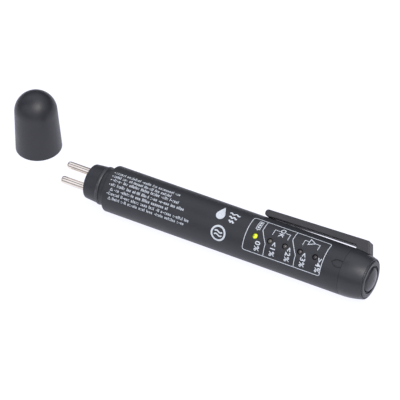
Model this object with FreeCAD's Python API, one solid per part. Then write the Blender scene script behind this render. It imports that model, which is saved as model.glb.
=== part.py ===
import FreeCAD, Part
import os, math
from FreeCAD import Vector as V

os.makedirs("parts", exist_ok=True)

# ---------------------------------------------------------------- dimensions
# pen frame: x along the pen (0 at the front shoulder, + to the button),
# y towards the pocket clip, z towards the lamp panel
R_BODY = 10.5            # outside radius of barrel and rear cover
L_BODY = 127.9           # front shoulder to the rear rim
L_BUTTON = 129.1         # front shoulder to the top of the button
X_SEAM = 117.0           # joint between barrel and rear cover
BORE = 8.9               # inside radius of the barrel
FRONT_BORE = 8.0         # seat of the probe head
FRONT_SEAT = 6.0
ROLL = 36.5              # how the pen lies: clip up and away, panel towards the front
LEDS = [75.2, 82.5, 89.8, 97.1, 104.4]
LED_Y = -0.3
LED_R = 1.2
LED_HOLE = 1.25
PCB_Z0, PCB_Z1 = 3.3, 4.5
NECK_L = 11.0
NECK_R0, NECK_R1 = 8.76, 7.78
PIN_R, PIN_OUT, PIN_GAP = 1.7, 13.8, 7.0
PIN_SHANK, PIN_ROOT = 1.5, 0.15
BAT_R, BAT_L, BAT_X = 5.25, 44.5, 109.2
BAT_Y, BAT_Z = -1.7, -2.3
CAP_RB, CAP_RT, CAP_H, CAP_DOME = 10.55, 9.7, 30.3, 9.35
CAP_X, CAP_Y = -51.9, 19.8
CLIP_W = 6.3
# row frame: origin under the middle of the laid-out set
CX = (CAP_X - CAP_RB + L_BUTTON) / 2.0
CY = (CAP_Y + CAP_RB - R_BODY) / 2.0

X = V(1, 0, 0)
Y = V(0, 1, 0)
Z = V(0, 0, 1)
O = V(0, 0, 0)


def wire2d(start, segs, plane="xr"):
    """Closed profile from a start point and ('l', p) or ('a', mid, end) steps."""
    def v(p):
        return V(p[0], p[1], 0) if plane == "xr" else V(p[0], 0, p[1])
    edges, cur = [], start
    for s in segs:
        if s[0] == "l":
            if (v(cur) - v(s[1])).Length > 1e-6:
                edges.append(Part.LineSegment(v(cur), v(s[1])).toShape())
            cur = s[1]
        else:
            edges.append(Part.Arc(v(cur), v(s[1]), v(s[2])).toShape())
            cur = s[2]
    if (v(cur) - v(start)).Length > 1e-6:
        edges.append(Part.LineSegment(v(cur), v(start)).toShape())
    return Part.Wire(edges)


def rev(start, segs):
    """Solid of revolution about the x axis from an (x, radius) profile."""
    return Part.Face(wire2d(start, segs)).revolve(O, X, 360)


def poly(points):
    return rev(points[0], [("l", p) for p in points[1:]])


def prism_z(start, segs, z0, z1):
    """Profile in x, y drawn out along z."""
    f = Part.Face(wire2d(start, segs))
    f.translate(V(0, 0, z0))
    return f.extrude(V(0, 0, z1 - z0))


def prism_y(start, segs, y0, y1):
    """Profile in x, z drawn out along y."""
    f = Part.Face(wire2d(start, segs, "xz"))
    f.translate(V(0, y0, 0))
    return f.extrude(V(0, y1 - y0, 0))


def box(x0, x1, y0, y1, z0, z1):
    return Part.makeBox(x1 - x0, y1 - y0, z1 - z0, V(x0, y0, z0))


def cylx(r, x0, x1, y=0.0, z=0.0):
    return Part.makeCylinder(r, x1 - x0, V(x0, y, z), X)


def cylz(r, z0, z1, x=0.0, y=0.0):
    return Part.makeCylinder(r, z1 - z0, V(x, y, z0), Z)


def tubex(ro, ri, x0, x1):
    return cylx(ro, x0, x1).cut(cylx(ri, x0 - 1, x1 + 1))


def clean(s):
    s = s.removeSplitter()
    if s.ShapeType != "Solid" and len(s.Solids) == 1:
        s = s.Solids[0]
    return s


def coil(x0, x1, r0, r1, wire, turns):
    """Round-wire helical spring along x, its flat end turns included."""
    n = int(turns * 16)
    # the wire's centre line as arcs through points of the helix
    pts = []
    for i in range(2 * n + 1):
        t = i / float(2 * n)
        a = 2 * math.pi * turns * t
        e = 1.0 / turns
        # ease the pitch in and out so both ends lie flat
        if t < e:
            k = 0.5 * t * t / e
        elif t > 1 - e:
            k = (1 - e) - 0.5 * (1 - t) ** 2 / e
        else:
            k = t - 0.5 * e
        k = k / (1 - e)
        r = r0 + (r1 - r0) * t
        pts.append(V(x0 + wire + (x1 - x0 - 2 * wire) * k, r * math.cos(a), r * math.sin(a)))
    bs = Part.BSplineCurve()
    bs.interpolate(pts)
    path = Part.Wire([bs.toShape()])
    tan = bs.tangent(bs.FirstParameter)[0]
    prof = Part.Wire([Part.Circle(pts[0], tan, wire).toShape()])
    return path.makePipeShell([prof], True, True)


def rod_path(r, start, steps):
    """Round wire along straight runs joined by tangent arcs in the x, z plane."""
    edges, cur = [], start
    for s in steps:
        if s[0] == "l":
            edges.append(Part.LineSegment(cur, s[1]).toShape())
            cur = s[1]
        else:
            edges.append(Part.Arc(cur, s[1], s[2]).toShape())
            cur = s[2]
    path = Part.Wire(edges)
    prof = Part.Wire([Part.Circle(start, X, r).toShape()])
    return path.makePipeShell([prof], True, True)


parts = {}

# ---------------------------------------------------------------- barrel
E = 0.45
c45 = E * (1 - math.sqrt(0.5))
barrel = rev((0.0, FRONT_BORE), [
    ("l", (0.0, R_BODY - E)), ("a", (c45, R_BODY - c45), (E, R_BODY)),
    ("l", (X_SEAM - 0.06, R_BODY)), ("l", (X_SEAM, R_BODY - 0.06)), ("l", (X_SEAM, BORE + 0.3)),
    ("l", (X_SEAM - 0.3, BORE)), ("l", (FRONT_SEAT, BORE)), ("l", (FRONT_SEAT, FRONT_BORE))])
for x in LEDS:
    barrel = barrel.cut(cylz(LED_HOLE, 6.0, 12.0, x, LED_Y))
    barrel = barrel.cut(Part.makeCone(LED_HOLE, LED_HOLE + 0.4, 0.4, V(x, LED_Y, 10.28), Z))
# debossed leaf-shaped arrow pointing at the probe end, open at the seam
ARROW_W, ARROW_D = 0.6, 0.42
pts = [(X_SEAM + 0.5, 1.35), (115.9, 1.75), (114.3, 1.7), (113.2, 1.15), (112.3, 0.2), (113.4, -0.75), (114.7, -1.4), (115.9, -1.35), (X_SEAM + 0.5, -0.8)]
strokes = None
for (xa, ya), (xb, yb) in zip(pts, pts[1:]):
    d = math.hypot(xb - xa, yb - ya)
    nx, ny = -(yb - ya) / d * ARROW_W / 2, (xb - xa) / d * ARROW_W / 2
    s = prism_z((xa + nx, ya + ny), [("l", (xb + nx, yb + ny)), ("l", (xb - nx, yb - ny)), ("l", (xa - nx, ya - ny))], 8.0, 12.0)
    s = s.fuse(cylz(ARROW_W / 2, 8.0, 12.0, xb, yb))
    strokes = s if strokes is None else strokes.fuse(s)
strokes = strokes.common(tubex(R_BODY + 1, R_BODY - ARROW_D, 108.0, X_SEAM + 1))
barrel = barrel.cut(strokes)
# two shallow rails inside the bore that keep the chassis from turning
for y0 in (-8.9, 8.2):
    rib = box(20.0, 60.0, y0, y0 + 0.7, 3.2, 3.9).common(cylx(BORE + 0.2, 20.0, 60.0))
    barrel = barrel.fuse(rib)
parts["barrel"] = clean(barrel)

# ---------------------------------------------------------------- probe head
F = 0.55
f45 = F * (1 - math.sqrt(0.5))
slope = (NECK_R0 - NECK_R1) / NECK_L


def neck_r(x):
    return NECK_R0 + slope * x


head = rev((-NECK_L, 0.0), [
    ("l", (-NECK_L, NECK_R1 - F)), ("a", (-NECK_L + f45, NECK_R1 - f45), (-NECK_L + F, neck_r(-NECK_L + F))),
    ("l", (-4.66, neck_r(-4.66))), ("l", (-4.66, 6.5)), ("l", (-2.6, 6.5)), ("l", (-2.6, neck_r(-2.6))),
    ("l", (-0.25, neck_r(-0.25))), ("l", (-0.05, 8.55)), ("l", (-0.05, 7.95)),
    ("l", (FRONT_SEAT - 0.3, 7.95)), ("l", (FRONT_SEAT, 7.65)), ("l", (FRONT_SEAT, 0.0))])
for s in (1, -1):
    head = head.cut(cylx(PIN_SHANK + 0.02, -NECK_L - 1, FRONT_SEAT + 1, s * PIN_GAP / 2))
    # small lead-in around each pin on the front face
    head = head.cut(Part.makeCone(PIN_R + 0.45, PIN_SHANK + 0.02, 0.45, V(-NECK_L, s * PIN_GAP / 2, 0), X))
# moulding recess between the pins, seen end on
head = head.cut(cylx(1.1, -NECK_L - 1, -NECK_L + 0.6))
parts["probe_head"] = clean(head)

ring = rev((-4.62, 6.55), [
    ("l", (-4.62, 8.33)), ("a", (-3.98, 8.70), (-3.4, 8.60)), ("a", (-3.02, 8.36), (-2.9, 7.95)), ("l", (-2.9, 6.55))])
parts["neck_o_ring"] = ring

for tag, s in (("a", 1), ("b", -1)):
    t = -NECK_L - PIN_OUT
    pin = rev((t, 0.0), [
        ("l", (t, 0.55)), ("a", (t + 0.36, 1.36), (t + 1.25, PIN_R)), ("l", (-NECK_L - PIN_ROOT, PIN_R)),
        ("l", (-NECK_L - PIN_ROOT, PIN_SHANK)), ("l", (FRONT_SEAT - 0.2, PIN_SHANK)), ("l", (FRONT_SEAT, PIN_SHANK - 0.2)), ("l", (FRONT_SEAT, 0.9)), ("l", (8.9, 0.9)), ("l", (9.1, 0.7)), ("l", (9.1, 0.0))])
    pin.translate(V(0, s * PIN_GAP / 2, 0))
    parts["probe_pin_" + tag] = pin
    # insulated lead from the pin's post up on to the board
    y = s * PIN_GAP / 2
    q = 1.5 * (1 - math.sqrt(0.5))
    lead = rod_path(0.55, V(9.15, y, 0), [
        ("l", V(10.2, y, 0)), ("a", V(11.7 - q, y, q), V(11.7, y, 1.5)),
        ("l", V(11.7, y, 3.57)), ("a", V(11.7 + q, y, 5.07 - q), V(13.2, y, 5.07)), ("l", V(18.4, y, 5.07))])
    parts["probe_lead_" + tag] = lead

seal = poly([(6.1, 0), (6.1, 8.5), (6.4, 8.8), (7.9, 8.8), (8.2, 8.5), (8.2, 0)])
for s in (1, -1):
    seal = seal.cut(cylx(0.92, 5, 10, s * PIN_GAP / 2))
parts["inner_seal"] = clean(seal)

# ---------------------------------------------------------------- chassis
ch = cylx(8.8, 13.0, 109.0)
ch = ch.cut(box(12, 110, -10, 10, 2.6, 10))
ch = ch.cut(cylx(7.5, 15.0, 58.0))                              # hollow front trough
ch = ch.cut(cylx(5.42, 62.0, 110.0, BAT_Y, BAT_Z))               # battery bay
for y0 in (-7.6, 5.6):
    ch = ch.fuse(box(13.0, 108.0, y0, y0 + 2.0, 1.6, PCB_Z0).common(cylx(8.8, 13.0, 108.0)).cut(cylx(5.42, 62.0, 110.0, BAT_Y, BAT_Z)))
ch = ch.fuse(cylz(2.2, -8.0, PCB_Z0, 24.0, 0.0).common(cylx(8.8, 13.0, 109.0)))
ch = ch.fuse(cylz(1.9, 0.0, PCB_Z0, 60.0, 0.0).common(box(58.1, 61.9, -5, 5, 0, 5)))
for x in (24.0, 60.0):
    ch = ch.cut(cylz(0.72, -3.2, 5.0, x, 0.0))
for x in (70.0, 82.0, 94.0):                                      # lightening cuts beside the cell
    ch = ch.cut(box(x, x + 7.0, 4.9, 7.4, -3.2, 1.2))
parts["chassis"] = clean(ch)

# ---------------------------------------------------------------- circuit board
pcb = box(14.0, 108.0, -6.4, 6.4, PCB_Z0, PCB_Z1)
for x in LEDS:
    for d in (-1.27, 1.27):
        pcb = pcb.cut(cylz(0.36, 3, 5, x + d, LED_Y))
for x in (24.0, 60.0):
    pcb = pcb.cut(cylz(1.1, 3, 5, x, 0))
pcb = pcb.cut(box(61.85, 62.65, -2.9, -0.5, 3, 5))                # slot for the positive tab
for sy in (1, -1):                                                # snapped corner notches
    pcb = pcb.cut(cylz(0.9, 3, 5, 14.0, sy * 6.4))
    pcb = pcb.cut(cylz(0.9, 3, 5, 108.0, sy * 6.4))
parts["circuit_board"] = clean(pcb)

for tag, x in (("front", 24.0), ("rear", 60.0)):
    sc = cylz(0.68, -2.8, PCB_Z1 + 0.05, x, 0)
    hd = Part.makeCylinder(1.9, 0.7, V(x, 0, PCB_Z1 + 0.02), Z).fuse(Part.makeCone(1.9, 1.3, 0.5, V(x, 0, PCB_Z1 + 0.72), Z))
    sc = sc.fuse(hd)
    for a in (0, 90):
        slot = box(-1.05, 1.05, -0.19, 0.19, PCB_Z1 + 0.55, PCB_Z1 + 2.0)
        slot.rotate(O, Z, a + 20)
        slot.translate(V(x, 0, 0))
        sc = sc.cut(slot)
    parts["board_screw_" + tag] = clean(sc)

# ---------------------------------------------------------------- lamps
for i, (x, name) in enumerate(zip(LEDS, ("green", "yellow_a", "yellow_b", "red_a", "red_b"))):
    b = cylz(1.9, 4.75, 5.6, x, LED_Y).cut(box(x - 3, x - 1.66, -5, 5, 4, 6))
    b = b.fuse(cylz(LED_R, 5.55, 9.22, x, LED_Y))
    b = b.fuse(Part.makeSphere(LED_R, V(x, LED_Y, 9.22)))
    for d in (-1.27, 1.27):
        b = b.fuse(cylz(0.26, 3.05, 4.9, x + d, LED_Y))
    parts["lamp_%d_%s" % (i, name)] = clean(b)

sp = box(71.6, 108.0, LED_Y - 2.5, LED_Y + 2.5, 6.0, 8.0)
sp = sp.fuse(box(71.6, 72.6, LED_Y - 2.5, LED_Y + 2.5, 4.55, 6.1)).fuse(box(107.2, 108.0, LED_Y - 2.5, LED_Y + 2.5, 4.55, 6.1))
for x in LEDS:
    sp = sp.cut(cylz(LED_HOLE, 5, 9, x, LED_Y))
for x in [(a + b) / 2 for a, b in zip(LEDS, LEDS[1:])]:
    sp = sp.cut(box(x - 0.6, x + 0.6, LED_Y - 1.5, LED_Y + 1.5, 6.8, 9))
parts["lamp_spacer"] = clean(sp)

# ---------------------------------------------------------------- components on the board
chip = prism_z((38.0, -1.95), [("l", (43.0, -1.95)), ("l", (43.0, 1.95)), ("l", (38.0, 1.95))], 4.75, 6.15)
chip = chip.cut(Part.makeCylinder(0.35, 1, V(38.7, -1.3, 6.05), Z))
for k in range(4):
    x = 38.6 + 1.27 * k
    for s in (1, -1):
        leg = prism_z((x - 0.2, s * 1.9), [("l", (x + 0.2, s * 1.9)), ("l", (x + 0.2, s * 2.5)), ("l", (x - 0.2, s * 2.5))], 5.2, 5.4)
        leg = leg.fuse(box(x - 0.2, x + 0.2, min(s * 2.3, s * 2.5), max(s * 2.3, s * 2.5), 4.52, 5.4))
        leg = leg.fuse(box(x - 0.2, x + 0.2, min(s * 2.3, s * 3.0), max(s * 2.3, s * 3.0), 4.52, 4.72))
        chip = chip.fuse(leg)
parts["comparator_chip"] = clean(chip)

for tag, x, y in (("a", 31.0, -3.6), ("b", 48.5, 3.2), ("c", 53.0, -3.0)):
    r = box(x, x + 2.0, y, y + 1.25, 4.6, 5.1)
    for x0 in (x - 0.05, x + 1.65):
        r = r.fuse(box(x0, x0 + 0.4, y - 0.04, y + 1.29, 4.54, 5.16))
    parts["resistor_" + tag] = clean(r)

cap_e = poly([(28.4, 0), (28.4, 1.9), (28.7, 2.0), (29.3, 2.0), (29.5, 1.85), (29.8, 2.0), (33.6, 2.0), (33.9, 1.8), (33.9, 0)])
cap_e.translate(V(0, 1.3, 6.56))
parts["capacitor"] = cap_e

# ---------------------------------------------------------------- power
nub = BAT_X - BAT_L
bat = poly([(nub, 0), (nub, 1.7), (nub + 0.2, 1.9), (nub + 0.9, 1.9), (nub + 0.9, 4.6), (nub + 1.3, BAT_R - 0.12),
            (nub + 1.7, BAT_R), (BAT_X - 0.7, BAT_R), (BAT_X - 0.3, BAT_R - 0.3), (BAT_X - 0.12, 4.3), (BAT_X, 4.1), (BAT_X, 0)])
bat.translate(V(0, BAT_Y, BAT_Z))
parts["battery_cell"] = bat

plate = cylx(4.2, 62.05, 62.4, BAT_Y, BAT_Z).fuse(box(62.05, 62.4, -2.7, -0.7, 1.0, 5.3))
parts["positive_plate"] = clean(plate)
spr = coil(62.42, 64.66, 3.2, 1.5, 0.22, 3.0)
spr.translate(V(0, BAT_Y, BAT_Z))
parts["positive_spring"] = spr

leaf = prism_y((103.6, 4.52), [("l", (108.3, 4.52)), ("l", (111.4, 5.08)), ("l", (113.2, 5.08)), ("l", (113.2, 5.34)),
                               ("l", (111.35, 5.34)), ("l", (108.25, 4.8)), ("l", (103.6, 4.8))], 2.8, 4.2)
parts["return_contact"] = leaf

# ---------------------------------------------------------------- rear cover
TAPER_X, TAPER_R = 117.3, 34.0       # where the cover starts to draw in, and the radius it follows
X_SHOULDER, E_COVER = 127.1, 0.35    # its rear edge and the rounding there
HOLE_R, RIM_R = 6.2, 7.4
sh_a = math.asin((X_SHOULDER - TAPER_X) / TAPER_R)
sh_r = R_BODY - TAPER_R + TAPER_R * math.cos(sh_a)
mid_r = R_BODY - TAPER_R + TAPER_R * math.cos(sh_a / 2)
# the rounded edge: centre one edge radius inside the big arc, turning to face the rear
ec = (X_SHOULDER - E_COVER * math.sin(sh_a), sh_r - E_COVER * math.cos(sh_a))
em = (math.pi / 2 - sh_a) / 2
cover = rev((109.5, 5.0), [
    ("l", (109.5, 8.6)), ("l", (109.74, 8.84)), ("l", (113.9, 8.84)), ("l", (113.9, 7.95)), ("l", (115.0, 7.95)),
    ("l", (115.0, 8.84)), ("l", (X_SEAM + 0.04, 8.84)), ("l", (X_SEAM + 0.04, R_BODY - 0.06)), ("l", (X_SEAM + 0.1, R_BODY)),
    ("l", (TAPER_X, R_BODY)), ("a", (TAPER_X + TAPER_R * math.sin(sh_a / 2), mid_r), (X_SHOULDER, sh_r)),
    ("a", (ec[0] + E_COVER * math.cos(em), ec[1] + E_COVER * math.sin(em)), (ec[0] + E_COVER, ec[1])),
    ("l", (ec[0] + E_COVER, 8.6)), ("l", (ec[0] + E_COVER - 0.3, 8.45)), ("l", (ec[0] + E_COVER - 0.3, 8.25)), ("l", (127.33, 8.17)),
    ("a", (127.75, 7.87), (L_BODY, RIM_R)), ("l", (L_BODY, HOLE_R + 0.25)), ("a", (L_BODY - 0.073, HOLE_R + 0.073), (L_BODY - 0.25, HOLE_R)),
    ("l", (124.0, HOLE_R)), ("l", (124.0, 7.6)), ("l", (118.0, 7.6)), ("l", (118.0, 7.3)), ("l", (110.7, 7.3)), ("l", (110.7, 5.0))])
print("cover shoulder", sh_r, ec, L_BODY)
cover = cover.cut(box(109.0, 110.69, -10, 10, 3.0, 10))            # the battery stop is cut away above the board
parts["rear_cover"] = clean(cover)

parts["cover_seal"] = Part.makeTorus(8.42, 0.44, V(114.45, 0, 0), X)
parts["contact_ring"] = tubex(7.28, 7.0, 110.8, 116.2)

seat = poly([(116.3, 1.5), (116.3, 7.25), (117.4, 7.25), (117.4, 4.3), (117.15, 4.1), (117.15, 3.0), (117.4, 2.8), (117.4, 1.5)])
parts["spring_seat"] = seat

parts["button_spring"] = coil(117.2, 122.36, 3.5, 3.5, 0.27, 4.5)

# ---------------------------------------------------------------- push button
BR, SKIRT_R, B_FIL, BTOP = 5.6, 5.85, 1.8, L_BUTTON
DOME_R = 14.0
# the dome meets a rounded edge that meets the cylindrical side
fr = BR - B_FIL
fx = BTOP - DOME_R + math.sqrt((DOME_R - B_FIL) ** 2 - fr ** 2)
ad = math.asin(fr / (DOME_R - B_FIL))
dx = BTOP - DOME_R
af = (ad + math.pi / 2) / 2
button = rev((118.6, 0.8), [
    ("l", (118.6, 1.9)), ("l", (118.9, 2.2)), ("l", (122.4, 2.2)), ("l", (122.4, 7.0)), ("l", (123.8, 7.0)), ("l", (123.8, SKIRT_R)),
    ("l", (126.2, SKIRT_R)), ("l", (126.4, SKIRT_R - 0.2)), ("l", (126.4, BR)),
    ("l", (fx, BR)), ("a", (fx + B_FIL * math.cos(af), fr + B_FIL * math.sin(af)), (dx + DOME_R * math.cos(ad), DOME_R * math.sin(ad))),
    ("a", (dx + DOME_R * math.cos(ad / 2), DOME_R * math.sin(ad / 2)), (BTOP, 0.0)), ("l", (121.4, 0.0)), ("l", (121.4, 0.8))])
print("button edge x", fx)
parts["push_button"] = clean(button)

plunger = poly([(110.5, 0), (110.5, 0.8), (110.9, 1.2), (118.5, 1.2), (118.5, 0.78), (121.3, 0.78), (121.3, 0)])
parts["contact_plunger"] = plunger

# ---------------------------------------------------------------- pocket clip
def rounded(corners):
    """Closed outline with every (x, y, r) corner rounded by a tangent arc."""
    n, out = len(corners), []
    for i, (x, y, r) in enumerate(corners):
        if r <= 0:
            out.append(((x, y), None, None))
            continue
        ax, ay = corners[i - 1][0] - x, corners[i - 1][1] - y
        bx, by = corners[(i + 1) % n][0] - x, corners[(i + 1) % n][1] - y
        la, lb = math.hypot(ax, ay), math.hypot(bx, by)
        ax, ay, bx, by = ax / la, ay / la, bx / lb, by / lb
        half = math.acos(max(-1.0, min(1.0, ax * bx + ay * by))) / 2
        t = r / math.tan(half)
        hx, hy = ax + bx, ay + by
        lh = math.hypot(hx, hy)
        m = r / math.sin(half) - r
        out.append(((x + ax * t, y + ay * t), (x + hx / lh * m, y + hy / lh * m), (x + bx * t, y + by * t)))
    segs = []
    for i, (p, m, q) in enumerate(out):
        if i:
            segs.append(("l", p))
        if m is not None:
            segs.append(("a", m, q))
    return out[0][0], segs


start, segs = rounded([
    (72.3, 13.6, 1.35), (121.6, 15.03, 0.6), (124.0, 9.3, 0.0), (117.12, 9.3, 0.0), (117.12, 11.5, 0.8),
    (100.0, 11.34, 10.0), (88.0, 11.0, 8.0), (77.8, 10.84, 4.0), (74.9, 10.64, 2.0), (72.3, 10.64, 1.35)])
clip = prism_z(start, segs, -CLIP_W / 2, CLIP_W / 2)
rim = [e for e in clip.Edges if e.BoundBox.ZLength < 0.01 and e.BoundBox.YMax > 9.5]
for r in (0.5, 0.35, 0.2):
    try:
        test = clip.makeFillet(r, rim)
        if test.isValid() and len(test.Solids) == 1:
            clip = test
            print("clip edges rounded", r)
            break
    except Exception:
        continue
# the root follows the cover's taper, with a little room below it for the clip to spring
G0, GM, G1 = 0.1, 0.16, 0.3
clip = clip.cut(rev((60.0, 0.0), [
    ("l", (60.0, R_BODY + G0)), ("l", (TAPER_X, R_BODY + G0)), ("a", (TAPER_X + TAPER_R * math.sin(sh_a / 2), mid_r + GM), (X_SHOULDER, sh_r + G1)),
    ("l", (X_SHOULDER, 0.0))]))
parts["pocket_clip"] = clean(clip)

# ---------------------------------------------------------------- place the pen on the floor
for n, s in parts.items():
    s.rotate(O, X, ROLL)
    s.translate(V(-CX, -CY, R_BODY))

# ---------------------------------------------------------------- cap, standing on its rim
zc = CAP_H - CAP_DOME
IN_T, IN_Z, IN_H = 8.0, 20.8, 28.6


def dome_arc(r, z, top):
    """Spherical arc from (r, z) up to the axis at height top."""
    h = top - z
    rad = (r * r + h * h) / (2 * h)
    c = top - rad
    a = math.atan2(z - c, r)
    m = (a + math.pi / 2) / 2
    return V(rad * math.cos(m), 0, c + rad * math.sin(m))


outer = dome_arc(CAP_RT, zc, CAP_H)
inner = dome_arc(IN_T, IN_Z, IN_H)
cz = Part.Face(Part.Wire([
    Part.LineSegment(V(9.15, 0, 0), V(CAP_RB - 0.4, 0, 0)).toShape(),
    Part.Arc(V(CAP_RB - 0.4, 0, 0), V(CAP_RB - 0.117, 0, 0.117), V(CAP_RB, 0, 0.4)).toShape(),
    Part.LineSegment(V(CAP_RB, 0, 0.4), V(CAP_RT, 0, zc)).toShape(),
    Part.Arc(V(CAP_RT, 0, zc), outer, V(0, 0, CAP_H)).toShape(),
    Part.LineSegment(V(0, 0, CAP_H), V(0, 0, IN_H)).toShape(),
    Part.Arc(V(0, 0, IN_H), inner, V(IN_T, 0, IN_Z)).toShape(),
    Part.LineSegment(V(IN_T, 0, IN_Z), V(8.1, 0, 11.6)).toShape(),
    Part.LineSegment(V(8.1, 0, 11.6), V(8.35, 0, 11.0)).toShape(),
    Part.LineSegment(V(8.35, 0, 11.0), V(8.62, 0, 2.9)).toShape(),
    Part.LineSegment(V(8.62, 0, 2.9), V(8.95, 0, 2.4)).toShape(),
    Part.LineSegment(V(8.95, 0, 2.4), V(8.95, 0, 0.2)).toShape(),
    Part.LineSegment(V(8.95, 0, 0.2), V(9.15, 0, 0)).toShape(),
])).revolve(O, Z, 360)
cz.translate(V(CAP_X - CX, CAP_Y - CY, 0))
parts["protective_cap"] = clean(cz)

# ---------------------------------------------------------------- write
for n, s in parts.items():
    if s.ShapeType != "Solid" and len(s.Solids) == 1:
        s = s.Solids[0]
    bb = s.BoundBox
    print("%-18s valid=%s solids=%d vol=%.1f  x %.2f..%.2f y %.2f..%.2f z %.2f..%.2f" % (
        n, s.isValid(), len(s.Solids), s.Volume, bb.XMin, bb.XMax, bb.YMin, bb.YMax, bb.ZMin, bb.ZMax))
    s.exportStep("parts/%s.step" % n)
print("row offset", CX, CY, "nodes", len(parts))
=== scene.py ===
import math
import random

import bmesh
import bpy
from mathutils import Matrix, Vector


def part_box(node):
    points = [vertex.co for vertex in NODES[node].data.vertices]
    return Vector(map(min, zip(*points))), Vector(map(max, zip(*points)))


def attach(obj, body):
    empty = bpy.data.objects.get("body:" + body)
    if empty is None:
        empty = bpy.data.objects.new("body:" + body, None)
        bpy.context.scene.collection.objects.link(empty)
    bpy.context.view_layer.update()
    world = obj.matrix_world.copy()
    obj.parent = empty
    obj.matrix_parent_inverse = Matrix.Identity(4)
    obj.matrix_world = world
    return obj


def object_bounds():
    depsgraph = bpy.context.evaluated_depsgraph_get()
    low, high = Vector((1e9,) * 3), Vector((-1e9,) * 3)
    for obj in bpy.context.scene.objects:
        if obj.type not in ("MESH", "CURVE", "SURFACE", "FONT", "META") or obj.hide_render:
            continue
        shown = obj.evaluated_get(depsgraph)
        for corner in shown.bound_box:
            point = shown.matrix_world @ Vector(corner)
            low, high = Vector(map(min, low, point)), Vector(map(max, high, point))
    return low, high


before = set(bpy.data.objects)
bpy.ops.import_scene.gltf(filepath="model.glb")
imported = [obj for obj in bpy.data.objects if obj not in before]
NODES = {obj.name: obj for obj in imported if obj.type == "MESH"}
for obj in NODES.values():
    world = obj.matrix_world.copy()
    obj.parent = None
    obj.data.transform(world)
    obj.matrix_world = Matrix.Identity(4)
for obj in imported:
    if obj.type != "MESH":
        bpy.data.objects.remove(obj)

# mathutils vectors become plain numbers
CAD_BOX = [[float(v) for v in corner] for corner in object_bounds()]
scene = bpy.context.scene
MM = 0.001

# ---------------------------------------------------------------- where things are, from the CAD
b_lo, b_hi = [Vector(v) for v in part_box("barrel")]
R = (b_hi.y - b_lo.y) / 2                     # barrel radius
AXY = (b_lo.y + b_hi.y) / 2                   # pen axis, y and z
AXZ = (b_lo.z + b_hi.z) / 2
X0 = b_lo.x                                   # front shoulder of the barrel
c_lo, c_hi = [Vector(v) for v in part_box("protective_cap")]
CAPX, CAPY = (c_lo.x + c_hi.x) / 2, (c_lo.y + c_hi.y) / 2


# ---------------------------------------------------------------- camera
CAM_POS = Vector((0.571023, -0.909121, 0.924822))
CAM_FWD = Vector((-0.402144, 0.645980, -0.648837)).normalized()
CAM_RIGHT = Vector((0.863953, 0.502331, -0.035352)).normalized()
CAM_UP = CAM_RIGHT.cross(CAM_FWD).normalized()
cam_data = bpy.data.cameras.new("camera")
cam_data.sensor_fit = "HORIZONTAL"
cam_data.sensor_width = 36.0
cam_data.lens = 36.0 * 3231.14 / 400.0
cam_data.clip_start = 0.05
cam_data.clip_end = 20.0
cam_data.dof.use_dof = False
cam = bpy.data.objects.new("camera", cam_data)
cam.matrix_world = Matrix((
    (CAM_RIGHT.x, CAM_UP.x, -CAM_FWD.x, CAM_POS.x),
    (CAM_RIGHT.y, CAM_UP.y, -CAM_FWD.y, CAM_POS.y),
    (CAM_RIGHT.z, CAM_UP.z, -CAM_FWD.z, CAM_POS.z),
    (0, 0, 0, 1)))
scene.collection.objects.link(cam)
scene.camera = cam
scene.view_settings.view_transform = "Standard"
scene.view_settings.look = "None"


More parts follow.
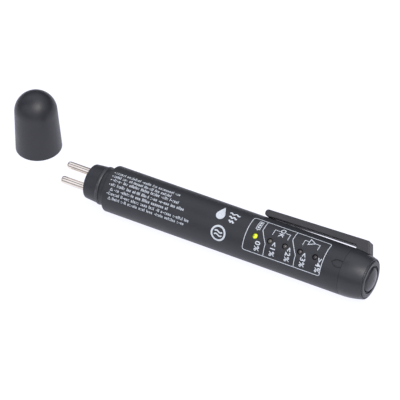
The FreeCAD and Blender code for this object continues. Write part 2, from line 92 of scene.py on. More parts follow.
# ---------------------------------------------------------------- node helpers
class Mat:
    """A small wrapper round a node tree: every call adds a node and returns its output."""

    def __init__(self, name):
        self.m = bpy.data.materials.new(name)
        self.m.use_nodes = True
        self.t = self.m.node_tree
        self.t.nodes.clear()
        self.out = self.t.nodes.new("ShaderNodeOutputMaterial")
        self.b = self.t.nodes.new("ShaderNodeBsdfPrincipled")
        self.t.links.new(self.b.outputs[0], self.out.inputs[0])
        self.tc = self.t.nodes.new("ShaderNodeTexCoord")
        self.co = self.tc.outputs["Object"]

    def put(self, sock, v):
        if isinstance(v, bpy.types.NodeSocket):
            self.t.links.new(v, sock)
        else:
            sock.default_value = v

    def mapping(self, scale=(1, 1, 1), rot=(0, 0, 0), loc=(0, 0, 0), co=None):
        n = self.t.nodes.new("ShaderNodeMapping")
        n.inputs["Scale"].default_value = scale
        n.inputs["Rotation"].default_value = rot
        n.inputs["Location"].default_value = loc
        self.t.links.new(co or self.co, n.inputs[0])
        return n.outputs[0]

    def noise(self, scale, detail=3.0, rough=0.5, dist=0.0, co=None):
        n = self.t.nodes.new("ShaderNodeTexNoise")
        n.inputs["Scale"].default_value = scale
        n.inputs["Detail"].default_value = detail
        n.inputs["Roughness"].default_value = rough
        n.inputs["Distortion"].default_value = dist
        self.t.links.new(co or self.co, n.inputs["Vector"])
        return n.outputs[0]

    def voronoi(self, scale, feature="F1", co=None, out="Distance", rand=1.0):
        n = self.t.nodes.new("ShaderNodeTexVoronoi")
        n.feature = feature
        n.inputs["Scale"].default_value = scale
        n.inputs["Randomness"].default_value = rand
        self.t.links.new(co or self.co, n.inputs["Vector"])
        return n.outputs[out]

    def wave(self, scale, axis="X", dist=0.0, detail=2.0, dscale=1.0, co=None, kind="BANDS"):
        n = self.t.nodes.new("ShaderNodeTexWave")
        n.wave_type = kind
        if kind == "BANDS":
            n.bands_direction = axis
        else:
            n.rings_direction = axis
        n.inputs["Scale"].default_value = scale
        n.inputs["Distortion"].default_value = dist
        n.inputs["Detail"].default_value = detail
        n.inputs["Detail Scale"].default_value = dscale
        self.t.links.new(co or self.co, n.inputs["Vector"])
        return n.outputs["Fac"]

    def ramp(self, fac, stops, interp="LINEAR"):
        n = self.t.nodes.new("ShaderNodeValToRGB")
        n.color_ramp.interpolation = interp
        el = n.color_ramp.elements
        while len(el) < len(stops):
            el.new(0.5)
        for e, (p, c) in zip(el, stops):
            e.position = p
            e.color = c if hasattr(c, "__len__") else (c, c, c, 1)
        self.t.links.new(fac, n.inputs[0])
        return n.outputs[0]

    def rng(self, v, a, b, c, d):
        n = self.t.nodes.new("ShaderNodeMapRange")
        n.clamp = True
        for k, x in zip(("From Min", "From Max", "To Min", "To Max"), (a, b, c, d)):
            n.inputs[k].default_value = x
        self.t.links.new(v, n.inputs["Value"])
        return n.outputs["Result"]

    def math(self, op, a, b=0.0, clamp=False):
        n = self.t.nodes.new("ShaderNodeMath")
        n.operation = op
        n.use_clamp = clamp
        self.put(n.inputs[0], a)
        self.put(n.inputs[1], b)
        return n.outputs[0]

    def mix(self, fac, a, b, blend="MIX"):
        n = self.t.nodes.new("ShaderNodeMix")
        n.data_type = "RGBA"
        n.blend_type = blend
        self.put(n.inputs["Factor"], fac)
        self.put(n.inputs["A"], a)
        self.put(n.inputs["B"], b)
        return n.outputs["Result"]

    def sep(self, co=None):
        n = self.t.nodes.new("ShaderNodeSeparateXYZ")
        self.t.links.new(co or self.co, n.inputs[0])
        return n.outputs

    def bump(self, height, dist, strength=1.0, normal=None):
        n = self.t.nodes.new("ShaderNodeBump")
        n.inputs["Strength"].default_value = strength
        n.inputs["Distance"].default_value = dist
        self.put(n.inputs["Height"], height)
        if normal is not None:
            self.t.links.new(normal, n.inputs["Normal"])
        return n.outputs[0]


def rgb(c):
    return (c[0], c[1], c[2], 1.0)


def moulded(name, base, rough=0.45, spec=0.5, grain=0.16, depth=0.004, mottle=0.12, reflection_streak=0.0, dust=0.02, coat=0.0):
    """Moulded plastic: fine spark-eroded grain, slow colour mottle, faint handling marks and specks of dust."""
    m = Mat(name)
    slow = m.noise(70, 3, 0.55)
    mid = m.noise(900, 4, 0.6)
    fine = m.noise(1000.0 / grain, 2, 0.6)
    lo = tuple(v * (1 - mottle) for v in base)
    hi = tuple(v * (1 + mottle) for v in base)
    col = m.mix(m.rng(slow, 0.3, 0.7, 0, 1), rgb(lo), rgb(hi))
    col = m.mix(m.rng(fine, 0.35, 0.7, 0.0, 0.35), col, rgb(tuple(min(1, v * 1.45 + 0.002) for v in base)))
    specks = m.rng(m.voronoi(420), 0.0, 0.035, 1.0, 0.0)
    specks = m.math("MULTIPLY", specks, m.rng(m.noise(140, 1), 0.55, 0.7, 0.0, 1.0))
    col = m.mix(m.math("MULTIPLY", specks, dust), col, (0.55, 0.55, 0.55, 1))
    # faint rubbed lines along the part, from handling
    rub = m.noise(260, 3, 0.6, 0.3, co=m.mapping(scale=(0.12, 1.6, 1.6)))
    rough_v = m.rng(slow, 0.3, 0.7, rough - 0.035, rough + 0.035)
    rough_v = m.math("ADD", rough_v, m.rng(rub, 0.56, 0.72, 0.0, -0.05))
    rough_v = m.math("ADD", rough_v, m.rng(mid, 0.3, 0.7, -0.02, 0.02))
    m.put(m.b.inputs["Base Color"], col)
    m.put(m.b.inputs["Roughness"], rough_v)
    m.b.inputs["Specular IOR Level"].default_value = spec
    m.b.inputs["IOR"].default_value = 1.5
    if coat:
        m.b.inputs["Coat Weight"].default_value = coat
        m.b.inputs["Coat Roughness"].default_value = 0.3
    n1 = m.bump(fine, depth * MM, 0.9)
    n2 = m.bump(m.noise(330, 2, 0.5), 0.010 * MM, 0.6, n1)
    m.put(m.b.inputs["Normal"], n2)
    return m.m


def metal(name, base, rough=0.25, tarnish=0.25, lathe="X", lines=5200, depth=0.0015, reflection_streak=0.0):
    """Plated metal, or metal pulled through a die: turning lines, slight tarnish, fine scratches and, when asked,
    painted dark lines along the part that stand in for dark bands reflected in it.
    """
    m = Mat(name)
    cloud = m.noise(380, 4, 0.6)
    spot = m.noise(2600, 3, 0.6)
    dark = tuple(v * (1 - tarnish) for v in base)
    col = m.mix(m.rng(cloud, 0.35, 0.7, 0, 1), rgb(base), rgb(dark))
    col = m.mix(m.rng(spot, 0.55, 0.75, 0, 0.35), col, rgb(tuple(v * 0.6 for v in base)))
    if reflection_streak:
        # painted reflection: dark lines along the part that stand in for dark bands reflected in the metal
        painted_reflection_lines = m.noise(1250, 2, 0.5, co=m.mapping(scale=(0.02, 1.0, 1.0)))
        col = m.mix(m.rng(painted_reflection_lines, 0.53, 0.62, 0.0, reflection_streak), col, rgb(tuple(v * 0.42 for v in base)))
    turn = m.wave(lines, lathe, 1.2, 2, 3.0)
    scr = m.noise(900, 3, 0.6, 0.5, co=m.mapping(scale=(0.15, 3.0, 3.0) if lathe == "X" else (3.0, 3.0, 0.15)))
    m.put(m.b.inputs["Base Color"], col)
    m.b.inputs["Metallic"].default_value = 1.0
    m.put(m.b.inputs["Roughness"], m.math("ADD", m.rng(cloud, 0.3, 0.7, rough - 0.05, rough + 0.07), m.rng(turn, 0, 1, -0.02, 0.03)))
    m.put(m.b.inputs["Normal"], m.bump(scr, depth * MM, 0.7, m.bump(turn, depth * MM, 0.5)))
    return m.m


def rubber(name, base, rough=0.6, grain=0.1, spec=0.35):
    m = Mat(name)
    slow = m.noise(160, 3, 0.6)
    fine = m.noise(1000.0 / grain, 3, 0.65)
    col = m.mix(m.rng(slow, 0.3, 0.7, 0, 1), rgb(tuple(v * 0.8 for v in base)), rgb(tuple(v * 1.25 for v in base)))
    bloom = m.rng(m.noise(700, 4, 0.7), 0.5, 0.8, 0.0, 0.12)
    col = m.mix(bloom, col, (0.35, 0.35, 0.36, 1))
    m.put(m.b.inputs["Base Color"], col)
    m.put(m.b.inputs["Roughness"], m.rng(slow, 0.3, 0.7, rough - 0.06, rough + 0.06))
    m.b.inputs["Specular IOR Level"].default_value = spec
    m.put(m.b.inputs["Normal"], m.bump(fine, 0.006 * MM, 0.8))
    return m.m


def lens(name, base, glow=None, strength=0.0, centre=None, alpha_rough=0.25):
    """A small round lamp lens: cloudy epoxy, with a brighter core where it is lit."""
    m = Mat(name)
    cloud = m.noise(900, 4, 0.6)
    col = m.mix(m.rng(cloud, 0.3, 0.7, 0, 1), rgb(tuple(v * 0.78 for v in base)), rgb(tuple(min(1, v * 1.2) for v in base)))
    m.put(m.b.inputs["Base Color"], col)
    m.put(m.b.inputs["Roughness"], m.rng(cloud, 0.3, 0.7, alpha_rough - 0.05, alpha_rough + 0.08))
    m.b.inputs["Coat Weight"].default_value = 0.35
    m.b.inputs["Coat Roughness"].default_value = 0.12
    m.put(m.b.inputs["Normal"], m.bump(m.noise(1800, 2), 0.004 * MM, 0.5))
    if glow is not None:
        d = m.t.nodes.new("ShaderNodeVectorMath")
        d.operation = "DISTANCE"
        m.t.links.new(m.co, d.inputs[0])
        d.inputs[1].default_value = centre
        core = m.rng(d.outputs["Value"], 0.0004, 0.0017, 1.0, 0.45)
        # the lead frame inside the lens shows as a duller patch off centre
        cup = m.t.nodes.new("ShaderNodeVectorMath")
        cup.operation = "DISTANCE"
        m.t.links.new(m.co, cup.inputs[0])
        cup.inputs[1].default_value = (centre[0] - 0.00052, centre[1], centre[2])
        dull = m.rng(cup.outputs["Value"], 0.00030, 0.00078, 0.26, 1.0)
        core = m.math("MULTIPLY", core, dull)
        m.put(m.b.inputs["Base Color"], m.mix(dull, rgb(tuple(v * 0.25 for v in base)), col))
        g = m.mix(m.rng(cloud, 0.3, 0.7, 0, 1), rgb(glow), rgb(tuple(min(1, v * 1.1 + 0.02) for v in glow)))
        m.put(m.b.inputs["Emission Color"], g)
        m.put(m.b.inputs["Emission Strength"], m.math("MULTIPLY", core, strength))
    return m.m


def ink(name, base=(0.62, 0.66, 0.69)):
    """Pad-printed ink: slightly uneven cover and a dry, chalky surface."""
    m = Mat(name)
    thin = m.noise(1500, 4, 0.65)
    wear = m.noise(210, 3, 0.6)
    col = m.mix(m.rng(thin, 0.25, 0.75, 0, 1), rgb(tuple(v * 0.82 for v in base)), rgb(base))
    col = m.mix(m.rng(wear, 0.58, 0.8, 0.0, 0.35), col, rgb(tuple(v * 0.55 for v in base)))
    m.put(m.b.inputs["Base Color"], col)
    m.put(m.b.inputs["Roughness"], m.rng(thin, 0.3, 0.7, 0.55, 0.72))
    m.b.inputs["Specular IOR Level"].default_value = 0.3
    m.put(m.b.inputs["Normal"], m.bump(thin, 0.003 * MM, 0.6))
    return m.m


# ---------------------------------------------------------------- materials for the CAD nodes
BODY = (0.0165, 0.0174, 0.0208)
body_mat = moulded("body_plastic_satin", BODY, rough=0.48, spec=0.50, grain=0.17, depth=0.006)
head_mat = moulded("head_plastic_satin", tuple(v * 0.98 for v in BODY), rough=0.48, spec=0.50, grain=0.17, depth=0.006)
cover_mat = moulded("cover_plastic_satin", tuple(v * 0.95 for v in BODY), rough=0.375, spec=0.54, grain=0.17, depth=0.004)
cap_mat = moulded("cap_plastic_satin", (0.0120, 0.0126, 0.0155), rough=0.42, spec=0.56, grain=0.16, depth=0.004)
clip_mat = moulded("clip_plastic_grained", (0.0290, 0.0290, 0.0305), rough=0.52, spec=0.5, grain=0.55, depth=0.030, mottle=0.3, dust=0.06)
button_mat = moulded("button_plastic_satin", (0.0165, 0.0173, 0.0205), rough=0.30, spec=0.52, grain=0.15, depth=0.003)
inner_mat = moulded("inner_plastic_grey", (0.075, 0.076, 0.080), rough=0.55, grain=0.22, depth=0.005, mottle=0.15)
chip_mat = moulded("chip_epoxy", (0.022, 0.022, 0.024), rough=0.62, grain=0.06, depth=0.003, mottle=0.1)
seal_mat = rubber("seal_rubber_black", (0.026, 0.027, 0.029), rough=0.44, spec=0.62)
silicone_mat = rubber("seal_silicone_pale", (0.50, 0.50, 0.47), rough=0.45, spec=0.5)
wire_red_mat = rubber("wire_insulation_red", (0.42, 0.03, 0.022), rough=0.4, spec=0.5)
wire_black_mat = rubber("wire_insulation_black", (0.022, 0.022, 0.023), rough=0.4, spec=0.5)
# the pins' metal gets painted dark lengthwise lines, standing in for dark bands reflected in them
nickel_mat = metal("nickel_plate", (0.90, 0.82, 0.71), rough=0.085, tarnish=0.12, depth=0.0002, reflection_streak=0.8)
steel_mat = metal("zinc_steel", (0.55, 0.55, 0.54), rough=0.32, tarnish=0.3, lathe="Z")
spring_mat = metal("spring_wire", (0.56, 0.56, 0.57), rough=0.28, tarnish=0.3)
brass_mat = metal("stamped_brass", (0.74, 0.56, 0.27), rough=0.3, tarnish=0.3)
can_mat = metal("capacitor_sleeve", (0.62, 0.62, 0.65), rough=0.35, tarnish=0.15)


def board_material():
    """Green solder mask over copper tracks, with a fine glass weave under it."""
    m = Mat("board_solder_mask")
    co = m.mapping(rot=(-math.radians(36.5), 0, 0))
    br = m.t.nodes.new("ShaderNodeTexBrick")
    br.inputs["Scale"].default_value = 240
    br.inputs["Mortar Size"].default_value = 0.035
    br.inputs["Color1"].default_value = (0, 0, 0, 1)
    br.inputs["Color2"].default_value = (0.25, 0.25, 0.25, 1)
    br.inputs["Mortar"].default_value = (1, 1, 1, 1)
    m.t.links.new(co, br.inputs["Vector"])
    track = m.rng(br.outputs["Color"], 0.3, 0.8, 0, 1)
    weave = m.math("MULTIPLY", m.wave(900, "X"), m.wave(900, "Y", co=co))
    col = m.mix(track, (0.012, 0.105, 0.04, 1), (0.05, 0.23, 0.085, 1))
    col = m.mix(m.rng(weave, 0, 1, 0, 0.18), col, (0.02, 0.16, 0.06, 1))
    col = m.mix(m.rng(m.noise(500, 3), 0.4, 0.7, 0, 0.3), col, (0.01, 0.09, 0.035, 1))
    m.put(m.b.inputs["Base Color"], col)
    m.put(m.b.inputs["Roughness"], m.rng(weave, 0, 1, 0.28, 0.38))
    m.put(m.b.inputs["Normal"], m.bump(track, 0.02 * MM, 0.7, m.bump(weave, 0.004 * MM, 0.6)))
    return m.m


def cell_material():
    """Plain cell jacket: a wide dark band, a narrow pale ring by the positive end and a bare steel rim."""
    m = Mat("cell_jacket_plain")
    lo, hi = [Vector(v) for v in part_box("battery_cell")]
    x = m.sep()[0]
    f = m.rng(x, lo.x, hi.x, 0, 1)
    col = m.ramp(f, [(0.0, (0.62, 0.62, 0.62, 1)), (0.035, (0.62, 0.62, 0.62, 1)), (0.04, (0.50, 0.30, 0.10, 1)),
                     (0.26, (0.52, 0.31, 0.10, 1)), (0.265, (0.75, 0.75, 0.74, 1)), (0.28, (0.75, 0.75, 0.74, 1)),
                     (0.285, (0.02, 0.022, 0.027, 1)), (0.975, (0.02, 0.022, 0.027, 1)), (0.98, (0.6, 0.6, 0.6, 1))], "CONSTANT")
    cloud = m.noise(300, 4, 0.6)
    col = m.mix(m.rng(cloud, 0.3, 0.7, 0, 0.25), col, (0.05, 0.05, 0.055, 1), "MULTIPLY")
    m.put(m.b.inputs["Base Color"], col)
    m.b.inputs["Metallic"].default_value = 0.55
    m.put(m.b.inputs["Roughness"], m.rng(cloud, 0.3, 0.7, 0.26, 0.4))
    m.put(m.b.inputs["Normal"], m.bump(m.noise(700, 3), 0.01 * MM, 0.5))
    return m.m


board_mat = board_material()
cell_mat = cell_material()


def lens_top(node):
    lo, hi = [Vector(v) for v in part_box(node)]
    return (lo + hi) / 2


ASSIGN = {
    "barrel": body_mat, "probe_head": head_mat, "neck_o_ring": seal_mat, "probe_pin_a": nickel_mat, "probe_pin_b": nickel_mat,
    "probe_lead_a": wire_red_mat, "probe_lead_b": wire_black_mat, "inner_seal": silicone_mat, "chassis": inner_mat,
    "circuit_board": board_mat, "board_screw_front": steel_mat, "board_screw_rear": steel_mat, "lamp_spacer": inner_mat,
    "comparator_chip": chip_mat, "resistor_a": chip_mat, "resistor_b": chip_mat, "resistor_c": chip_mat, "capacitor": can_mat,
    "battery_cell": cell_mat, "positive_plate": nickel_mat, "positive_spring": spring_mat, "return_contact": brass_mat,
    "rear_cover": cover_mat, "cover_seal": seal_mat, "contact_ring": brass_mat, "spring_seat": brass_mat, "button_spring": spring_mat,
    "push_button": button_mat, "contact_plunger": brass_mat, "pocket_clip": clip_mat, "protective_cap": cap_mat,
}
# the lamps' domed tops, in the row frame: the lamp axis is the panel direction
ROLL = math.radians(36.5)
PANEL = Vector((0, -math.sin(ROLL), math.cos(ROLL)))


def lamp_tip(node):
    """Middle of the lamp's dome, from its mesh: the mean of its points furthest along the panel direction."""
    vs = [v.co for v in NODES[node].data.vertices]
    top = max(v.dot(PANEL) for v in vs)
    near = [v for v in vs if v.dot(PANEL) > top - 0.0003]
    return sum(near, Vector()) / len(near)


ASSIGN["lamp_0_green"] = lens("lamp_lens_lit", (0.30, 0.37, 0.02), (0.78, 0.97, 0.018), 1.02, tuple(lamp_tip("lamp_0_green")))
# painted light: the unlit lenses get paler greys the nearer they sit to the lit lamp, standing in for light seen on
# them rather than their own tint
ASSIGN["lamp_1_yellow_a"] = lens("lamp_lens_yellow_a", (0.088, 0.084, 0.070))
ASSIGN["lamp_2_yellow_b"] = lens("lamp_lens_yellow_b", (0.080, 0.074, 0.072))
ASSIGN["lamp_3_red_a"] = lens("lamp_lens_red_a", (0.058, 0.052, 0.050))
ASSIGN["lamp_4_red_b"] = lens("lamp_lens_red_b", (0.030, 0.025, 0.025))

for name, obj in NODES.items():
    mat = ASSIGN.get(name, inner_mat)
    if not obj.material_slots:
        obj.data.materials.append(mat)
    for s in obj.material_slots:
        s.material = mat


# ---------------------------------------------------------------- printed marks, wrapped round the barrel
INK_TOP = R + 0.030 * MM
INK_LOW = R - 0.030 * MM
ink_mat = ink("print_ink_pale")
dim_ink = ink("print_ink_small", (0.68, 0.725, 0.765))


def on_barrel(x, phi, r):
    """x in mm from the front shoulder; phi in degrees round the axis, 0 level towards -Y, 90 straight up."""
    a = math.radians(phi)
    return Vector((X0 + x * MM, AXY - r * math.cos(a), AXZ + r * math.sin(a)))


def deg(mm):
    """Degrees round the barrel for a length in mm along its surface."""
    return math.degrees(mm * MM / R)


def stroke(bm, pts, width, closed=False):
    """A raised line of that width in mm through (x mm, phi deg) points, mitred at its corners."""
    mmpd = math.radians(1) * R / MM              # mm along the surface for a degree
    p = [Vector((x, f * mmpd)) for x, f in pts]
    q = []
    n = len(p)
    for i in range(n if closed else n - 1):
        a, b = p[i], p[(i + 1) % n]
        k = max(1, int(math.ceil(max(abs(b.y - a.y) / 0.45, (b - a).length / 6.0))))
        q += [a.lerp(b, t / k) for t in range(k)]
    if not closed:
        q.append(p[-1])
    m = len(q)
    rings = []
    for i, c in enumerate(q):
        d0 = (c - q[i - 1]).normalized() if (i > 0 or closed) else None
        d1 = (q[(i + 1) % m] - c).normalized() if (i < m - 1 or closed) else None
        d0, d1 = d0 or d1, d1 or d0
        n0, n1 = Vector((-d0.y, d0.x)), Vector((-d1.y, d1.x))
        nn = (n0 + n1)
        nn = nn.normalized() if nn.length > 1e-6 else n0
        nn = nn / max(0.4, nn.dot(n0)) * width / 2
        ring = []
        for side, r in ((1, INK_TOP), (-1, INK_TOP), (-1, INK_LOW), (1, INK_LOW)):
            s = c + nn * side
            ring.append(bm.verts.new(on_barrel(s.x, s.y / mmpd, r)))
        rings.append(ring)
    for i in range(m if closed else m - 1):
        a, b = rings[i], rings[(i + 1) % m]
        for k in range(4):
            bm.faces.new((a[k], a[(k + 1) % 4], b[(k + 1) % 4], b[k]))
    if not closed:
        bm.faces.new(rings[0][::-1])
        bm.faces.new(rings[-1])


def patch(bm, flat):
    """Wraps a flat bmesh, x in mm and y in mm round the surface, on the barrel as a thin closed plate."""
    ys = [v.co.y for v in flat.verts]
    y = math.floor(min(ys) / 0.45) * 0.45 + 0.45
    while y < max(ys):
        geom = flat.verts[:] + flat.edges[:] + flat.faces[:]
        bmesh.ops.bisect_plane(flat, geom=geom, plane_co=(0, y, 0), plane_no=(0, 1, 0), dist=1e-5)
        y += 0.45
    bmesh.ops.triangulate(flat, faces=flat.faces[:])
    mmpd = math.radians(1) * R / MM
    top, low = {}, {}
    for v in flat.verts:
        top[v] = bm.verts.new(on_barrel(v.co.x, v.co.y / mmpd, INK_TOP))
        low[v] = bm.verts.new(on_barrel(v.co.x, v.co.y / mmpd, INK_LOW))
    for f in flat.faces:
        bm.faces.new([top[v] for v in f.verts])
        bm.faces.new([low[v] for v in reversed(f.verts)])
    for e in flat.edges:
        if len(e.link_faces) == 1:
            f = e.link_faces[0]
            a, b = e.verts
            vs = list(f.verts)
            if vs[(vs.index(a) + 1) % len(vs)] is not b:
                a, b = b, a
            bm.faces.new((top[b], top[a], low[a], low[b]))


def polygon(bm, pts):
    """A filled shape, (x mm, phi deg) corners."""
    mmpd = math.radians(1) * R / MM
    flat = bmesh.new()
    flat.faces.new([flat.verts.new((x, f * mmpd, 0)) for x, f in pts])
    bmesh.ops.triangulate(flat, faces=flat.faces[:])
    patch(bm, flat)
    flat.free()


def lettering(bm, text, x, phi, height, width, bold=0.0, space=1.0):
    """Scale figures centred at (x, phi): they read down round the barrel with their tops towards the button."""
    cu = bpy.data.curves.new("figures", "FONT")
    cu.body = text
    cu.size = 1.0
    cu.align_x = "LEFT"
    cu.offset = bold
    cu.space_character = space
    cu.resolution_u = 4
    ob = bpy.data.objects.new("figures", cu)
    scene.collection.objects.link(ob)
    bpy.context.view_layer.update()
    me = bpy.data.meshes.new_from_object(ob.evaluated_get(bpy.context.evaluated_depsgraph_get()))
    bpy.data.objects.remove(ob)
    bpy.data.curves.remove(cu)
    flat = bmesh.new()
    flat.from_mesh(me)
    bpy.data.meshes.remove(me)
    bmesh.ops.remove_doubles(flat, verts=flat.verts[:], dist=1e-5)
    xs = [v.co.x for v in flat.verts]
    ys = [v.co.y for v in flat.verts]
    w, k = max(xs) - min(xs), height / (max(ys) - min(ys))
    cx, cy = (max(xs) + min(xs)) / 2, (max(ys) + min(ys)) / 2
    mmpd = math.radians(1) * R / MM
    for v in flat.verts:
        u, t = (v.co.x - cx) * width / w, (v.co.y - cy) * k
        v.co = Vector((x + t, phi * mmpd - u, 0))
    bmesh.ops.recalc_face_normals(flat, faces=flat.faces[:])
    patch(bm, flat)
    flat.free()


def piece(name, bm, mat, body="pen_body", smooth=False):
    bmesh.ops.remove_doubles(bm, verts=bm.verts[:], dist=1e-8)
    bmesh.ops.recalc_face_normals(bm, faces=bm.faces[:])
    me = bpy.data.meshes.new(name)
    bm.to_mesh(me)
    bm.free()
    if smooth:
        for f in me.polygons:
            f.use_smooth = True
    me.materials.append(mat)
    ob = bpy.data.objects.new(name, me)
    scene.collection.objects.link(ob)
    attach(ob, body)
    return ob


def arc(cx, cf, rad, a0, a1, n):
    """Points on a round arc on the surface: centre (x mm, phi deg), radius in mm, angles in degrees."""
    return [(cx + rad * math.cos(math.radians(a0 + (a1 - a0) * i / n)),
             cf + deg(rad * math.sin(math.radians(a0 + (a1 - a0) * i / n)))) for i in range(n + 1)]


# frame round the lamp panel, with rounded corners
XL, XR, PT, PB, CR = 70.95, 108.4, 99.2, 11.4, 1.0
bm = bmesh.new()
line = (arc(XL + CR, PB + deg(CR), CR, 180, 270, 5) + arc(XR - CR, PB + deg(CR), CR, 270, 360, 5)
        + arc(XR - CR, PT - deg(CR), CR, 0, 90, 5) + arc(XL + CR, PT - deg(CR), CR, 90, 180, 5))
stroke(bm, line, 0.30, closed=True)
piece("print_panel_frame", bm, ink_mat)

bm = bmesh.new()
stroke(bm, [(77.55, PT - 0.8), (77.6, 70.8), (81.05, 42.0), (81.15, PB + 0.8)], 0.28)
stroke(bm, [(91.85, PT - 0.8), (91.9, 73.0), (95.8, 40.6), (95.85, PB + 0.8)], 0.28)
piece("print_panel_dividers", bm, ink_mat)

bm = bmesh.new()
stroke(bm, [(82.5, 68.0), (82.5, 83.4), (84.9, 83.4)], 0.26)
stroke(bm, [(87.7, 83.4), (89.9, 83.4), (89.9, 68.0)], 0.26)
stroke(bm, [(97.0, 69.0), (97.0, 83.4), (98.8, 83.4)], 0.26)
stroke(bm, [(102.3, 83.4), (104.2, 83.4), (104.2, 69.0)], 0.26)
piece("print_panel_brackets", bm, ink_mat)

bm = bmesh.new()
lettering(bm, "0%", 77.6, 30.2, 2.45, 4.5, bold=0.018, space=1.1)
for text, tx in (("<1%", 84.95), ("<2%", 92.25), ("<3%", 99.5), (">4%", 106.95)):
    lettering(bm, text, tx, 35.3, 2.45, 6.35, bold=0.018, space=1.1)
lettering(bm, "OK", 86.2, 80.4, 2.35, 4.5, bold=0.018, space=1.12)
piece("print_scale_figures", bm, ink_mat)

# plain triangle over the last two lamps, and a cell symbol over the first
bm = bmesh.new()
stroke(bm, [(99.1, 91.8), (99.1, 75.0), (101.9, 83.4)], 0.34, closed=True)
piece("print_triangle", bm, ink_mat)
bm = bmesh.new()
stroke(bm, [(74.3, 92.3), (74.3, 69.5), (76.1, 69.5), (76.1, 92.3)], 0.26, closed=True)
polygon(bm, [(74.85, 68.2), (75.55, 68.2), (75.55, 66.6), (74.85, 66.6)][::-1])
for a, b in ((90.2, 85.7), (83.6, 79.1), (77.0, 72.5)):
    polygon(bm, [(74.75, b), (75.65, b), (75.65, a), (74.75, a)])
piece("print_cell_symbol", bm, ink_mat)

# rows of plain ticks and dashes, in place of small print: they spell nothing
rnd = random.Random(11)
rows = [(85.8, 2.9, 35.4, "dot"), (74.7, 2.9, 32.6, "dot"), (64.8, 3.1, 36.4, "dot"), (53.2, 3.3, 40.4, "dot"),
        (42.3, 5.6, 33.0, "peak"), (31.2, 3.4, 43.6, "dot"), (20.2, 5.5, 41.6, "peak")]
TALL, LOW = 1.34, 0.96                # stroke heights in mm
bm = bmesh.new()
for phi, xa, xb, lead in rows:
    base = phi - deg(0.5)
    if lead == "dot":
        polygon(bm, arc(xa - 0.65, phi, 0.24, 0, 315, 7))
    else:
        stroke(bm, [(xa - 1.9, base), (xa - 0.7, base), (xa - 1.3, base + deg(1.15))], 0.17, closed=True)
    x = xa
    while x < xb - 0.6:
        for k in range(rnd.choice((3, 4, 5, 6, 6, 7, 9))):
            if x > xb - 0.3:
                break
            kind = rnd.random()
            if kind < 0.30:
                stroke(bm, [(x + 0.2, base), (x + 0.2, base + deg(TALL))], 0.235)
                x += 0.52
            elif kind < 0.72:
                stroke(bm, [(x + 0.2, base), (x + 0.2, base + deg(LOW))], 0.225)
                stroke(bm, [(x + 0.56, base), (x + 0.56, base + deg(LOW))], 0.19)
                x += 0.90
            elif kind < 0.90:
                stroke(bm, [(x + 0.08, base + deg(LOW - 0.14)), (x + 0.68, base + deg(LOW - 0.14))], 0.19)
                stroke(bm, [(x + 0.08, base + deg(0.16)), (x + 0.68, base + deg(0.16))], 0.19)
                x += 0.86
            else:
                stroke(bm, [(x + 0.08, base + deg(0.52)), (x + 0.68, base + deg(0.52))], 0.22)
                x += 0.84
        x += 0.70
piece("print_tick_rows", bm, dim_ink)

# dust lip in the gap round the button, carried by the rear cover
bm = bmesh.new()
section = [(126.95, 6.18), (127.30, 6.18), (127.42, 6.02), (127.34, 5.76), (127.20, 5.66), (126.95, 5.70)]
loops = [[bm.verts.new(on_barrel(x, 3.75 * i, r * MM)) for x, r in section] for i in range(96)]
for i in range(96):
    a, b = loops[i], loops[(i + 1) % 96]
    for k in range(len(section)):
        n = (k + 1) % len(section)
        bm.faces.new((a[k], a[n], b[n], b[k]))
lip_mat = moulded("lip_plastic_satin", (0.034, 0.036, 0.041), rough=0.55, spec=0.6, grain=0.17, depth=0.003)
piece("button_dust_lip", bm, lip_mat, "rear_cover", smooth=True)

# generic symbols: a drop with level lines, and a ring with a wave
bm = bmesh.new()
dx, df = 56.6, 72.5
drop = [(dx + 2.05 * math.cos(math.radians(a)), df + deg(2.05 * math.sin(math.radians(a)))) for a in range(-215, 36, 12)]
drop = [(x, f) for x, f in drop] + [(dx, df + deg(4.7))]
polygon(bm, drop)
for k, (wa, wb) in enumerate(((60.0, 65.0), (60.6, 64.4), (61.2, 63.8))):
    f0 = 86.0 - 10.5 * k
    wave = [(wa + (wb - wa) * i / 16, f0 + deg(0.34 * math.sin(2 * math.pi * i / 8))) for i in range(17)]
    stroke(bm, wave, 0.62)
piece("print_drop_symbol", bm, ink_mat)
bm = bmesh.new()
rx, rf, rr = 58.6, 28.6, 3.15
stroke(bm, arc(rx, rf, rr, 0, 352, 44), 0.82, closed=True)
for off in (-0.75, 0.75):
    wave = [(rx - 1.85 + 3.7 * i / 16, rf + deg(off + 0.38 * math.sin(2 * math.pi * i / 16))) for i in range(17)]
    stroke(bm, wave, 0.62)
piece("print_wave_symbol", bm, ink_mat)


# ---------------------------------------------------------------- floor, light
def floor_material():
    m = Mat("studio_floor")
    tint = m.noise(3.0, 3, 0.5)
    col = m.mix(m.rng(tint, 0.3, 0.7, 0, 1), (0.11, 0.11, 0.115, 1), (0.125, 0.125, 0.13, 1))
    # a pale sheet that falls away into the dark of the studio well outside the picture
    d = m.t.nodes.new("ShaderNodeVectorMath")
    d.operation = "LENGTH"
    m.t.links.new(m.co, d.inputs[0])
    near = m.rng(d.outputs["Value"], 0.24, 0.50, 1.0, 0.10)
    m.put(m.b.inputs["Base Color"], m.mix(near, (0.03, 0.03, 0.032, 1), col))
    m.b.inputs["Roughness"].default_value = 0.9
    m.b.inputs["Specular IOR Level"].default_value = 0.1
    m.put(m.b.inputs["Emission Color"], (0.985, 0.995, 1.12, 1))
    m.put(m.b.inputs["Emission Strength"], m.math("MULTIPLY", near, FLOOR_GLOW))
    return m.m


FLOOR_GLOW = 0.94
bm = bmesh.new()
bmesh.ops.create_circle(bm, cap_ends=True, segments=96, radius=2.2)
me = bpy.data.meshes.new("studio_floor")
bm.to_mesh(me)
bm.free()
floor = bpy.data.objects.new("studio_floor", me)
me.materials.append(floor_material())
floor.location = (0, 0, CAD_BOX[0][2] - 0.00005)
scene.collection.objects.link(floor)

world = bpy.data.worlds.new("studio")
scene.world = world
world.use_nodes = True
wt = world.node_tree
bg = wt.nodes["Background"]


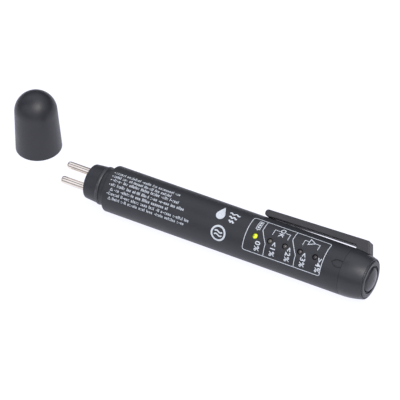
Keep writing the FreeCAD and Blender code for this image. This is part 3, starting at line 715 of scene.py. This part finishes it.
def w_range(v, a, b, c, d):
    n = wt.nodes.new("ShaderNodeMapRange")
    n.clamp = True
    for k, x in zip(("From Min", "From Max", "To Min", "To Max"), (a, b, c, d)):
        n.inputs[k].default_value = x
    wt.links.new(v, n.inputs["Value"])
    return n.outputs["Result"]


def w_mix(fac, a, b):
    n = wt.nodes.new("ShaderNodeMix")
    n.data_type = "FLOAT"
    for k, x in (("Factor", fac), ("A", a), ("B", b)):
        wt.links.new(x, n.inputs[k])
    return n.outputs["Result"]


# a studio dome: bright overhead and in front, dim behind the object and along the horizon
w_co = wt.nodes.new("ShaderNodeTexCoord")
w_sep = wt.nodes.new("ShaderNodeSeparateXYZ")
wt.links.new(w_co.outputs["Generated"], w_sep.inputs[0])
front = w_range(w_sep.outputs["Z"], 0.06, 0.42, 0.12, 1.12)
back = w_range(w_sep.outputs["Z"], 0.36, 0.95, 0.07, 1.30)
gap_n = wt.nodes.new("ShaderNodeMath")
gap_n.operation = "ABSOLUTE"
gap_a = wt.nodes.new("ShaderNodeMath")
gap_a.operation = "ADD"
gap_a.inputs[1].default_value = 0.24
wt.links.new(w_sep.outputs["Y"], gap_a.inputs[0])
wt.links.new(gap_a.outputs[0], gap_n.inputs[0])
gap = w_range(gap_n.outputs[0], 0.10, 0.17, 0.03, 1.0)
level = w_mix(w_range(w_sep.outputs["Y"], -0.15, 0.45, 0.0, 1.0), front, back)
bg.inputs["Color"].default_value = (0.950, 0.965, 1.10, 1)
lev = wt.nodes.new("ShaderNodeMath")
lev.operation = "MULTIPLY"
wt.links.new(level, lev.inputs[0])
wt.links.new(gap, lev.inputs[1])
wt.links.new(lev.outputs[0], bg.inputs["Strength"])


def softbox(name, direction, dist, size, power, color=(1, 1, 1)):
    d = Vector(direction).normalized()
    li = bpy.data.lights.new(name, "AREA")
    li.shape = "RECTANGLE"
    li.size, li.size_y = size
    li.energy = power
    li.color = color
    ob = bpy.data.objects.new(name, li)
    ob.location = d * dist
    ob.rotation_euler = d.to_track_quat("Z", "Y").to_euler()
    scene.collection.objects.link(ob)
    return ob


softbox("key_softbox", (0.394, -0.308, 0.866), 1.3, (0.7, 0.7), 10.5, (1.0, 0.985, 0.97))
